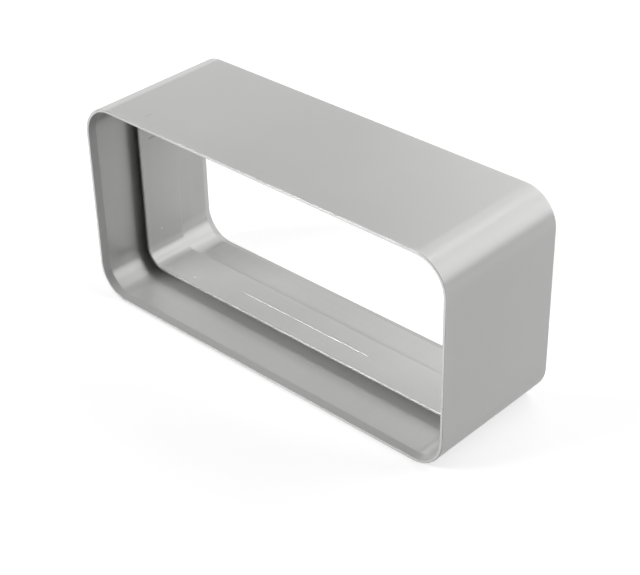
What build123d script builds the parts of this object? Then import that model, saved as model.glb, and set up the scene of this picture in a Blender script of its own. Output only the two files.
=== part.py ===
import os

from build123d import *

# Rectangular duct coupler: one moulded sleeve with a socket at each end.
# Millimetres. +Z up, +X across the wide walls, the duct runs along Y, and the front mouth faces -Y.
# The origin is on the floor under the middle of the coupler.

# Flat duct that slides into each end
duct_width = 150.0
duct_height = 70.0
duct_wall = 1.8
duct_corner = 9.5

# Room for the duct outside and inside its wall
socket_clearance = 0.7
sleeve_clearance = 0.3

# Outer shell
length = 52.0
shell_wall = 1.8
rim_wall = 1.0
lead_in_depth = 2.6
rim_round = 0.25

# Inner sleeve that stops the duct and carries the air past the joint
sleeve_length = 16.5
sleeve_wall = 1.0
sleeve_round = 0.35
web_thickness = 1.8

# Sections that follow from the duct
socket_width = duct_width + 2 * socket_clearance
socket_height = duct_height + 2 * socket_clearance
socket_corner = duct_corner + socket_clearance
outer_width = socket_width + 2 * shell_wall
outer_height = socket_height + 2 * shell_wall
outer_corner = socket_corner + shell_wall
sleeve_inset = duct_wall + sleeve_clearance
sleeve_width = duct_width - 2 * sleeve_inset
sleeve_height = duct_height - 2 * sleeve_inset
sleeve_corner = duct_corner - sleeve_inset
passage_width = sleeve_width - 2 * sleeve_wall
passage_height = sleeve_height - 2 * sleeve_wall
passage_corner = sleeve_corner - sleeve_wall

# Middle of the length, looking out of the front mouth
middle = Plane(origin=(0, 0, outer_height / 2), x_dir=(1, 0, 0), z_dir=(0, -1, 0))

with BuildPart() as coupler_body:
    # Front half of the outer shell, solid up to the middle
    with BuildSketch(middle):
        RectangleRounded(outer_width, outer_height, outer_corner)
    extrude(amount=length / 2)

    # Socket down to the web
    with BuildSketch(middle.offset(web_thickness / 2)):
        RectangleRounded(socket_width, socket_height, socket_corner)
    extrude(amount=(length - web_thickness) / 2, mode=Mode.SUBTRACT)

    # Lead-in that thins the wall towards the rim
    rim = coupler_body.faces().sort_by(Axis.Y)[0]
    chamfer(rim.inner_wires()[0].edges(), length=shell_wall - rim_wall, length2=lead_in_depth, reference=rim)

    # Half of the inner sleeve, standing off the web with an open groove round it
    with BuildSketch(middle):
        RectangleRounded(sleeve_width, sleeve_height, sleeve_corner)
    extrude(amount=sleeve_length / 2)

    # Passage for the air
    with BuildSketch(middle):
        RectangleRounded(passage_width, passage_height, passage_corner)
    extrude(amount=length / 2, mode=Mode.SUBTRACT)

    # Softened sleeve edge
    sleeve_end = coupler_body.faces().filter_by(Axis.Y).group_by(Axis.Y)[1].sort_by(SortBy.AREA)[0]
    fillet(sleeve_end.edges(), radius=sleeve_round)

    # Softened rim
    rim = coupler_body.faces().sort_by(Axis.Y)[0]
    fillet(rim.edges(), radius=rim_round)

    # The back half is the same
    mirror(about=Plane.XZ)

coupler_body.part.label = "coupler_body"

os.makedirs("parts", exist_ok=True)
export_step(coupler_body.part, "parts/coupler_body.step")
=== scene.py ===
import math

import bpy
import numpy as np
from mathutils import Matrix, Vector


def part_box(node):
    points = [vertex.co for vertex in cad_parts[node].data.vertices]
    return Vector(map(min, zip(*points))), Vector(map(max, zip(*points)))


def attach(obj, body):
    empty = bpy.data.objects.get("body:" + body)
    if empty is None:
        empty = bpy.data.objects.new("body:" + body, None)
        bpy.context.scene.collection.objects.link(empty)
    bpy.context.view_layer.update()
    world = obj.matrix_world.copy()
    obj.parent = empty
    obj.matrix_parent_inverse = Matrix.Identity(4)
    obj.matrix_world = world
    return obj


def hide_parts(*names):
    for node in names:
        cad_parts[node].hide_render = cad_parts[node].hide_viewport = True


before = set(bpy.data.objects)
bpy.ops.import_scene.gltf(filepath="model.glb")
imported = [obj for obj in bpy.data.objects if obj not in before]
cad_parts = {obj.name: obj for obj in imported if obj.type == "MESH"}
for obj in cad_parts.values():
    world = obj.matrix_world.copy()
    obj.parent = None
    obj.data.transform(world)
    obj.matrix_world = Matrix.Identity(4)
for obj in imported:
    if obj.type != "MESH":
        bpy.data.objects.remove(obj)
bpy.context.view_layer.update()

low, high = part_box("coupler_body")
WIDTH, LENGTH, HEIGHT = (high[i] - low[i] for i in range(3))

# Millimetres to the frame's metres
MM = 0.001

# Section of the coupler's wall, in millimetres, measured inward from the outer surface
SHELL_WALL = 1.8
RIM_WALL = 1.0
RIM_ROUND = 0.25
LEAD_IN_DEPTH = 2.6
LEAD_IN_ROUND = 0.6
SLEEVE_OUTER = 4.6
SLEEVE_INNER = 5.6
SLEEVE_LENGTH = 16.5
SLEEVE_ROUND = 0.35
WEB_THICKNESS = 1.8
WEB_FILLET = 0.1

# Radius of the outer corners, in millimetres
CORNER = 12.0

# Mould line round the middle of the sleeve, in millimetres
MOULD_LINE_HEIGHT = 0.22
MOULD_LINE_HALF = 0.16
MOULD_LINE_ROUND = 0.1

# Stretch of the floor where the mould line stands up, and the run over which it fades out
MOULD_LINE_FROM, MOULD_LINE_TO = -38.0, 31.0
MOULD_LINE_FADE = 8.0

# Share of its height that the mould line keeps elsewhere, and how unevenly it runs
MOULD_LINE_REST = 0.04
MOULD_LINE_UNEVEN = 0.12
MOULD_LINE_WAVES = (0.9, 0.37)
MOULD_LINE_PHASE = 1.0

# How far each edge is rubbed smooth and made paler, from 0 to 1; the paler tone is a painted
# highlight along the edge
RIM_OUTER_WEAR_AND_HIGHLIGHT = 1.0
RIM_INNER_WEAR_AND_HIGHLIGHT = 0.8
SLEEVE_OUTER_WEAR_AND_HIGHLIGHT = 0.3
SLEEVE_INNER_WEAR_AND_HIGHLIGHT = 0.65
MOULD_LINE_FOOT_WEAR_AND_HIGHLIGHT = 0.15
MOULD_LINE_TOP_WEAR_AND_HIGHLIGHT = 0.5

# The sleeve's back edge is less rubbed than its front one, and gets less of the painted highlight
SLEEVE_BACK_SHARE = 0.1

# Heights at which the rims start to be rubbed and are fully rubbed, in millimetres. The rims' tone
# grows paler with height: painted shade near the floor, darker than the plain plastic below the
# first height, and a painted highlight higher up
RIM_RUB_AND_HIGHLIGHT_FROM, RIM_RUB_AND_HIGHLIGHT_FULL = 8.0, 35.0

# Mesh of the section: steps in each arc, and its longest step and the reach of the wear and painted
# highlight in millimetres
SECTION_ARC_STEPS = 6
LONGEST_STEP = 4.0
WEAR_AND_HIGHLIGHT_REACH = 0.4

# Steps of the outline in each corner and along each wide and narrow wall
OUTLINE_ARC_STEPS = 28
WIDE_WALL_STEPS = 64
NARROW_WALL_STEPS = 30

# Plastic: the two ends of its tone, and its base finish
PLASTIC_DARK = (0.34, 0.3415, 0.3365, 1.0)
PLASTIC_LIGHT = (0.66, 0.6625, 0.6555, 1.0)
ROUGHNESS = 0.37
METALLIC = 0.2
PLASTIC_IOR = 1.5

# Patterns in the plastic: scale per metre and detail
GRAIN = (2600, 3.0)
PEEL = (420, 1.0)
CLOUD = (22, 2.0)

# Patterns left by the mould's core: scale per metre across, along and up, and detail
RINGS = ((4.0, 210.0, 4.0), 2.0)
DRAWN = ((900.0, 18.0, 900.0), 3.0)

# Share of each pattern in the tone
CLOUD_TONE = 0.16
GRAIN_TONE = 0.10
RINGS_TONE = 0.12
DRAWN_TONE = 0.08
# the rubbed edges' paler tone is a painted highlight
WEAR_AND_HIGHLIGHT_TONE = 0.35

# Share of each pattern in the roughness
CLOUD_ROUGH = 0.05
GRAIN_ROUGH = 0.08
RINGS_ROUGH = 0.03
INSIDE_ROUGH = -0.05
WEAR_ROUGH = -0.14

# Relief of the surface: strength, and height in millimetres
PEEL_RELIEF = (0.35, 0.03)
GRAIN_RELIEF = (0.25, 0.012)

# Small marks on the surface: middle and half sizes in millimetres, and how much paler or darker
MARKS = (
    ((-71.9, -2.6, 54.0), (1.0, 2.4, 0.5), -0.9),
    ((-71.9, -1.1, 54.2), (1.0, 0.9, 0.9), -0.6),
    ((-71.9, -1.5, 16.9), (1.0, 0.7, 0.6), 0.8),
    ((-52.6, -4.4, 5.6), (0.8, 0.7, 1.0), 0.8),
    ((-51.0, -3.6, 5.6), (0.5, 0.5, 1.0), 0.5),
    ((-53.0, -19.0, 75.0), (0.3, 2.2, 1.0), -0.6),
)

# Softboxes: name, azimuth and elevation in degrees, width and height in metres, power in watts
SOFTBOXES = (
    ("key_softbox", 325, 33, 0.42, 0.3, 7.9),
    ("right_back_softbox", 140, 24.2, 0.9, 0.65, 6.4),
    ("right_back_high_softbox", 148, 51.7, 0.85, 0.42, 3.1),
    ("back_low_softbox", 180, 15, 0.5, 0.3, 0.5),
    ("back_high_softbox", 190, 45, 0.7, 0.5, 2.4),
    ("left_back_softbox", 205, 25, 0.5, 0.4, 1.0),
    ("left_low_softbox", 240, 15, 0.7, 0.4, 1.6),
    ("left_softbox", 275, 35, 0.9, 0.5, 0.4),
    ("front_high_softbox", 345, 55, 0.6, 0.4, 0.85),
    ("table_front_left", 316, -33, 0.35, 0.3, 2.6),
    ("table_right", 100, -15, 0.9, 0.4, 2.2),
    ("table_front_right", 75, -28, 0.6, 0.4, 0.8),
)

# Distance of every softbox from the coupler's middle, in metres
SOFTBOX_DISTANCE = 1.1
WORLD_LIGHT = 0.02

# Pale floor and the pale ring behind it, in metres
FLOOR_HALF = 6.0
BACKDROP_RADIUS = 4.0
BACKDROP_HEIGHT = 3.0
BACKDROP_SIDES = 64
STAGE_TONE = 0.45
STAGE_GLOW = 0.65
STAGE_ROUGHNESS = 0.9

# Camera at the photograph's angle: focal length and image width in pixels, angles in degrees
FOCAL_PIXELS = 1605
IMAGE_PIXELS = 640
CAMERA_AZIMUTH = 43.56
CAMERA_ELEVATION = 33.07
CAMERA_ROLL = -1.23
CAMERA_DISTANCE = 3.1325 * WIDTH
CAMERA_AIM = (0.1863 * WIDTH, -LENGTH / 2, HEIGHT / 2 + 0.0601 * WIDTH)
SENSOR_WIDTH = 36.0
CLIP_START, CLIP_END = 0.01, 20


def angle_between(a, b):
    """Angle between two unit vectors, in radians."""
    return math.acos(max(-1.0, min(1.0, float(a @ b))))


def rounded_corner(before, here, after, radius):
    """Points and outward normals along the arc that rounds one corner of a polygon."""
    a = (before - here) / np.linalg.norm(before - here)
    b = (after - here) / np.linalg.norm(after - here)
    half = angle_between(a, b) / 2
    reach = radius / math.tan(half)
    middle = here + (a + b) / np.linalg.norm(a + b) * radius / math.sin(half)
    n0 = (here + a * reach - middle) / radius
    n1 = (here + b * reach - middle) / radius
    # a convex corner's normals point away from its arc's centre, a concave corner's towards it
    out = 1.0 if a[1] * b[0] - a[0] * b[1] > 0 else -1.0
    sweep = angle_between(n0, n1)
    arc = []
    for k in range(SECTION_ARC_STEPS + 1):
        t = k / SECTION_ARC_STEPS
        n = (n0 * math.sin((1 - t) * sweep) + n1 * math.sin(t * sweep)) / math.sin(sweep)
        arc.append((middle + n * radius, n * out))
    return arc


def rounded_profile(corners):
    """Points, outward normals and wear with painted highlight of a closed polygon of (point, radius,
    wear_and_highlight) corners.
    """
    count = len(corners)
    arcs = []
    for i in range(count):
        before, here, after = (np.array(corners[(i + k) % count][0], float) for k in (-1, 0, 1))
        radius, wear_and_highlight = corners[i][1:]
        arcs.append([(p, n, wear_and_highlight) for p, n in rounded_corner(before, here, after, radius)])
    rows = []
    for i, arc in enumerate(arcs):
        rows += arc
        # the straight run to the next corner keeps the wear and painted highlight close to the
        # corner
        here, n, _ = arc[-1]
        there = arcs[(i + 1) % count][0][0]
        run = np.linalg.norm(there - here)
        if run > 3 * WEAR_AND_HIGHLIGHT_REACH:
            inner = run - 2 * WEAR_AND_HIGHLIGHT_REACH
            pieces = max(1, math.ceil(inner / LONGEST_STEP))
            for k in range(pieces + 1):
                point = here + (there - here) * (WEAR_AND_HIGHLIGHT_REACH + inner * k / pieces) / run
                rows.append((point, n, 0.0))
    return tuple(np.array(column) for column in zip(*rows))


def section():
    """The wall's closed section, counter-clockwise: inward offset and distance along the duct."""
    end = LENGTH / MM / 2
    half_sleeve, half_web = SLEEVE_LENGTH / 2, WEB_THICKNESS / 2
    front = [
        ((0.0, -end), RIM_ROUND, RIM_OUTER_WEAR_AND_HIGHLIGHT),
        ((RIM_WALL, -end), RIM_ROUND, RIM_INNER_WEAR_AND_HIGHLIGHT),
        ((SHELL_WALL, -end + LEAD_IN_DEPTH), LEAD_IN_ROUND, 0.0),
        ((SHELL_WALL, -half_web), WEB_FILLET, 0.0),
        ((SLEEVE_OUTER, -half_web), WEB_FILLET, 0.0),
        ((SLEEVE_OUTER, -half_sleeve), SLEEVE_ROUND, SLEEVE_OUTER_WEAR_AND_HIGHLIGHT),
        ((SLEEVE_INNER, -half_sleeve), SLEEVE_ROUND, SLEEVE_INNER_WEAR_AND_HIGHLIGHT),
    ]
    crest = SLEEVE_INNER + MOULD_LINE_HEIGHT
    ridge = [
        ((SLEEVE_INNER, -MOULD_LINE_HALF), MOULD_LINE_ROUND, MOULD_LINE_FOOT_WEAR_AND_HIGHLIGHT),
        ((crest, 0.0), MOULD_LINE_ROUND, MOULD_LINE_TOP_WEAR_AND_HIGHLIGHT),
        ((SLEEVE_INNER, MOULD_LINE_HALF), MOULD_LINE_ROUND, MOULD_LINE_FOOT_WEAR_AND_HIGHLIGHT),
    ]
    back = []
    for (inward, along), radius, wear_and_highlight in reversed(front):
        share = 1.0 if abs(along) > half_sleeve else SLEEVE_BACK_SHARE
        back.append(((inward, -along), radius, share * wear_and_highlight))
    return rounded_profile(front + ridge + back)


def outline():
    """Points and outward normals of the outer rounded rectangle, in millimetres about its middle."""
    cx, cz = WIDTH / MM / 2 - CORNER, HEIGHT / MM / 2 - CORNER
    points, normals = [], []
    for sx, sz, start in ((1, 1, 0), (-1, 1, 90), (-1, -1, 180), (1, -1, 270)):
        for k in range(OUTLINE_ARC_STEPS + 1):
            a = math.radians(start + 90 * k / OUTLINE_ARC_STEPS)
            n = np.array((math.cos(a), math.sin(a)))
            points.append(np.array((sx * cx, sz * cz)) + n * CORNER)
            normals.append(n)
        # the wall that follows the corner
        wide = start in (0, 180)
        run, steps = (2 * cx, WIDE_WALL_STEPS) if wide else (2 * cz, NARROW_WALL_STEPS)
        along = np.array((-n[1], n[0]))
        first = points[-1]
        for k in range(1, steps):
            points.append(first + along * run * k / steps)
            normals.append(n)
    return np.array(points), np.array(normals)


def mould_line_share(path, path_n):
    """How much of its full height the mould line has at each point of the outline."""
    x = path[:, 0]
    rise = np.clip((x - MOULD_LINE_FROM) / MOULD_LINE_FADE, 0, 1)
    fall = np.clip((MOULD_LINE_TO - x) / MOULD_LINE_FADE, 0, 1)
    wave = np.sin(x * MOULD_LINE_WAVES[0]) * np.sin(x * MOULD_LINE_WAVES[1] + MOULD_LINE_PHASE)
    raised = rise * fall * (1 - MOULD_LINE_UNEVEN + MOULD_LINE_UNEVEN * wave)
    faces_down = path_n[:, 1] < -0.99
    return np.where(faces_down, np.maximum(raised, MOULD_LINE_REST), MOULD_LINE_REST)


def moulded_body():
    """The coupler as one closed mesh: its section carried round the rounded rectangle."""
    prof, prof_n, prof_wear_and_highlight = section()
    path, path_n = outline()
    n_path, n_prof = len(path), len(prof)
    inward, along, n_in, n_along, wear_and_highlight = (
        np.repeat(column[None, :], n_path, axis=0)
        for column in (prof[:, 0], prof[:, 1], prof_n[:, 0], prof_n[:, 1], prof_wear_and_highlight))

    # The mould line fades in and out along the outline
    ridge = (np.abs(prof[:, 1]) < 2 * MOULD_LINE_HALF) & (prof[:, 0] > SLEEVE_INNER - 1e-6)
    share = mould_line_share(path, path_n)[:, None]
    inward[:, ridge] = SLEEVE_INNER + (inward[:, ridge] - SLEEVE_INNER) * share
    n_along[:, ridge] *= share
    wear_and_highlight[:, ridge] *= share

    # The rims are rubbed and made paler less towards the floor, and are darker just above it:
    # painted shade near the floor, painted highlight higher up
    rim = np.abs(prof[:, 1]) > LENGTH / MM / 2 - LEAD_IN_DEPTH / 2
    above_floor = path[:, 1:] + HEIGHT / MM / 2
    wear_and_highlight[:, rim] *= np.minimum((above_floor - RIM_RUB_AND_HIGHLIGHT_FROM) / (RIM_RUB_AND_HIGHLIGHT_FULL - RIM_RUB_AND_HIGHLIGHT_FROM), 1.0)

    size = np.hypot(n_in, n_along)
    n_in, n_along = n_in / size, n_along / size
    flat = path[:, None, :] - path_n[:, None, :] * inward[..., None]
    co = np.stack([flat[..., 0] * MM, along * MM, flat[..., 1] * MM + HEIGHT / 2], axis=-1)
    normal = np.stack(
        [-path_n[:, None, 0] * n_in, n_along, -path_n[:, None, 1] * n_in], axis=-1)
    here = np.arange(n_path)[:, None] * n_prof
    there = np.roll(here, -1, axis=0)
    j = np.arange(n_prof)[None, :]
    after = (j + 1) % n_prof
    quads = np.stack([here + j, there + j, there + after, here + after], axis=-1).reshape(-1, 4)

    mesh = bpy.data.meshes.new("coupler_moulding")
    mesh.from_pydata(co.reshape(-1, 3).tolist(), [], quads.tolist())
    mesh.update()
    mesh.shade_smooth()
    mesh.normals_split_custom_set_from_vertices(normal.reshape(-1, 3).tolist())
    # where the edges are rubbed and made paler as a painted highlight, and which side of the wall
    # faces inward
    inside = np.tile(np.clip(prof[:, 0] / RIM_WALL, 0, 1), n_path)
    for name, values in (("wear_and_highlight", wear_and_highlight.ravel()), ("inside", inside)):
        layer = mesh.attributes.new(name, "FLOAT", "POINT")
        layer.data.foreach_set("value", values.astype(np.float32))
    piece = bpy.data.objects.new("coupler_moulding", mesh)
    bpy.context.collection.objects.link(piece)
    return piece


def satin_plastic():
    """Silver grey moulded plastic: satin grain, faint rings, rubbed edges made paler as a painted
    highlight, and a few small marks.
    """
    mat = bpy.data.materials.new("satin_grey_plastic")
    mat.use_nodes = True
    nodes, links = mat.node_tree.nodes, mat.node_tree.links
    shader = nodes["Principled BSDF"].inputs
    place = nodes.new("ShaderNodeTexCoord").outputs["Object"]

    def feed(socket, value):
        """Link an output to a socket, or set a constant on it."""
        if isinstance(value, (int, float, tuple)):
            socket.default_value = value
        else:
            links.new(value, socket)

    def sums(operation, a, b, clamp=False):
        n = nodes.new("ShaderNodeMath")
        n.operation, n.use_clamp = operation, clamp
        feed(n.inputs[0], a)
        feed(n.inputs[1], b)
        return n.outputs[0]

    def vectors(operation, a, b):
        n = nodes.new("ShaderNodeVectorMath")
        n.operation = operation
        feed(n.inputs[0], a)
        feed(n.inputs[1], b)
        return n.outputs[0]

    def noise(scale, detail, vector=place):
        n = nodes.new("ShaderNodeTexNoise")
        feed(n.inputs["Vector"], vector)
        n.inputs["Scale"].default_value = scale
        n.inputs["Detail"].default_value = detail
        return n.outputs["Fac"]

    def stretched_noise(factors, detail):
        return noise(1.0, detail, vectors("MULTIPLY", place, factors))

    def attribute(name):
        n = nodes.new("ShaderNodeAttribute")
        n.attribute_name = name
        return n.outputs["Fac"]

    def centred(value, amount):
        """A pattern's swing about its middle, times an amount."""
        return sums("MULTIPLY", sums("SUBTRACT", value, 0.5), amount)

    def mark(centre, radii, amount):
        """A soft spot of the given half sizes, in millimetres."""
        away = vectors("SUBTRACT", place, tuple(c * MM for c in centre))
        far = nodes.new("ShaderNodeVectorMath")
        far.operation = "LENGTH"
        links.new(vectors("DIVIDE", away, tuple(r * MM for r in radii)), far.inputs[0])
        return sums("MULTIPLY", sums("SUBTRACT", 1.0, far.outputs["Value"], clamp=True), amount)

    def total(start, terms):
        for term in terms:
            start = sums("ADD", start, term)
        return start

    def bump(height, relief, normal=None):
        strength, distance = relief
        n = nodes.new("ShaderNodeBump")
        n.inputs["Strength"].default_value = strength
        n.inputs["Distance"].default_value = distance * MM
        links.new(height, n.inputs["Height"])
        if normal is not None:
            links.new(normal, n.inputs["Normal"])
        return n.outputs["Normal"]

    wear_and_highlight, inside = attribute("wear_and_highlight"), attribute("inside")
    grain, peel, cloud = noise(*GRAIN), noise(*PEEL), noise(*CLOUD)
    rings, drawn = stretched_noise(*RINGS), stretched_noise(*DRAWN)

    # Tone, around the middle of the ramp; the rubbed edges' paler tone is a painted highlight
    tone = total(0.5, [
        centred(cloud, CLOUD_TONE),
        centred(grain, GRAIN_TONE),
        sums("MULTIPLY", inside, centred(rings, RINGS_TONE)),
        sums("MULTIPLY", inside, centred(drawn, DRAWN_TONE)),
        sums("MULTIPLY", wear_and_highlight, WEAR_AND_HIGHLIGHT_TONE),
        *(mark(*spot) for spot in MARKS),
    ])
    ramp = nodes.new("ShaderNodeValToRGB")
    ramp.color_ramp.elements[0].color = PLASTIC_DARK
    ramp.color_ramp.elements[1].color = PLASTIC_LIGHT
    links.new(tone, ramp.inputs["Fac"])
    links.new(ramp.outputs["Color"], shader["Base Color"])

    # Roughness, smoother inside and on rubbed edges
    rough = total(ROUGHNESS, [
        centred(cloud, CLOUD_ROUGH),
        centred(grain, GRAIN_ROUGH),
        sums("MULTIPLY", inside, centred(rings, RINGS_ROUGH)),
        sums("MULTIPLY", inside, INSIDE_ROUGH),
        sums("MULTIPLY", wear_and_highlight, WEAR_ROUGH),
    ])
    links.new(rough, shader["Roughness"])
    shader["Metallic"].default_value = METALLIC
    shader["IOR"].default_value = PLASTIC_IOR

    links.new(bump(grain, GRAIN_RELIEF, bump(peel, PEEL_RELIEF)), shader["Normal"])
    return mat


def direction(azimuth, elevation):
    """Unit vector towards the given angles in degrees. Azimuth turns from the front to the right."""
    a, e = math.radians(azimuth), math.radians(elevation)
    return Vector((math.sin(a) * math.cos(e), -math.cos(a) * math.cos(e), math.sin(e)))


def softbox(name, azimuth, elevation, wide, tall, power):
    """Area light seen from the coupler at the given angles, facing it."""
    data = bpy.data.lights.new(name, "AREA")
    data.shape = "RECTANGLE"
    data.size, data.size_y, data.energy = wide, tall, power
    away = direction(azimuth, elevation)
    lamp = bpy.data.objects.new(name, data)
    lamp.location = Vector((0, 0, HEIGHT / 2)) + away * SOFTBOX_DISTANCE
    lamp.rotation_euler = (-away).to_track_quat("-Z", "Y").to_euler()
    lamp.visible_camera = False
    bpy.context.collection.objects.link(lamp)


def stage_piece(name, points, faces):
    """Pale glowing surface with faint shadows. It casts no diffuse light or shade on the coupler."""
    mesh = bpy.data.meshes.new(name)
    mesh.from_pydata(points, [], faces)
    piece = bpy.data.objects.new(name, mesh)
    bpy.context.collection.objects.link(piece)
    mat = bpy.data.materials.new(name)
    mat.use_nodes = True
    shader = mat.node_tree.nodes["Principled BSDF"].inputs
    shader["Base Color"].default_value = (STAGE_TONE, STAGE_TONE, STAGE_TONE, 1)
    shader["Roughness"].default_value = STAGE_ROUGHNESS
    shader["Emission Color"].default_value = (1, 1, 1, 1)
    shader["Emission Strength"].default_value = STAGE_GLOW
    mesh.materials.append(mat)
    piece.visible_diffuse = False
    piece.visible_shadow = False
    return piece


def floor_and_backdrop():
    """Floor under the coupler, and a ring far behind it that the coupler doesn't mirror."""
    f = FLOOR_HALF
    stage_piece("floor", [(-f, -f, 0), (f, -f, 0), (f, f, 0), (-f, f, 0)], [(0, 1, 2, 3)])
    count = BACKDROP_SIDES
    turns = [math.tau * k / count for k in range(count)]
    ring = [(BACKDROP_RADIUS * math.cos(a), BACKDROP_RADIUS * math.sin(a)) for a in turns]
    points = [(x, y, z) for z in (0, BACKDROP_HEIGHT) for x, y in ring]
    after = [(k + 1) % count for k in range(count)]
    faces = [(k, after[k], count + after[k], count + k) for k in range(count)]
    stage_piece("backdrop", points, faces).visible_glossy = False


def place_camera():
    """Camera at the photograph's angle, with no shift."""
    data = bpy.data.cameras.new("camera")
    camera = bpy.data.objects.new("camera", data)
    bpy.context.collection.objects.link(camera)
    bpy.context.scene.camera = camera
    back = direction(CAMERA_AZIMUTH, CAMERA_ELEVATION)
    right = (-back).cross(Vector((0, 0, 1))).normalized()
    up = right.cross(-back)
    c, s = math.cos(math.radians(CAMERA_ROLL)), math.sin(math.radians(CAMERA_ROLL))
    right, up = c * right + s * up, -s * right + c * up
    turn = Matrix((right, up, back)).transposed().to_4x4()
    camera.matrix_world = Matrix.Translation(Vector(CAMERA_AIM) + back * CAMERA_DISTANCE) @ turn
    data.sensor_fit = "HORIZONTAL"
    data.sensor_width = SENSOR_WIDTH
    data.lens = SENSOR_WIDTH * FOCAL_PIXELS / IMAGE_PIXELS
    data.clip_start, data.clip_end = CLIP_START, CLIP_END


# The coupler
body = moulded_body()
body.data.materials.append(satin_plastic())
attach(body, "root")
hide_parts("coupler_body")

# Pale stage and soft studio light
floor_and_backdrop()
world = bpy.data.worlds.new("studio")
world.use_nodes = True
world.node_tree.nodes["Background"].inputs["Color"].default_value = (1, 1, 1, 1)
world.node_tree.nodes["Background"].inputs["Strength"].default_value = WORLD_LIGHT
bpy.context.scene.world = world
for row in SOFTBOXES:
    softbox(*row)

place_camera()
bpy.context.scene.view_settings.view_transform = "Standard"
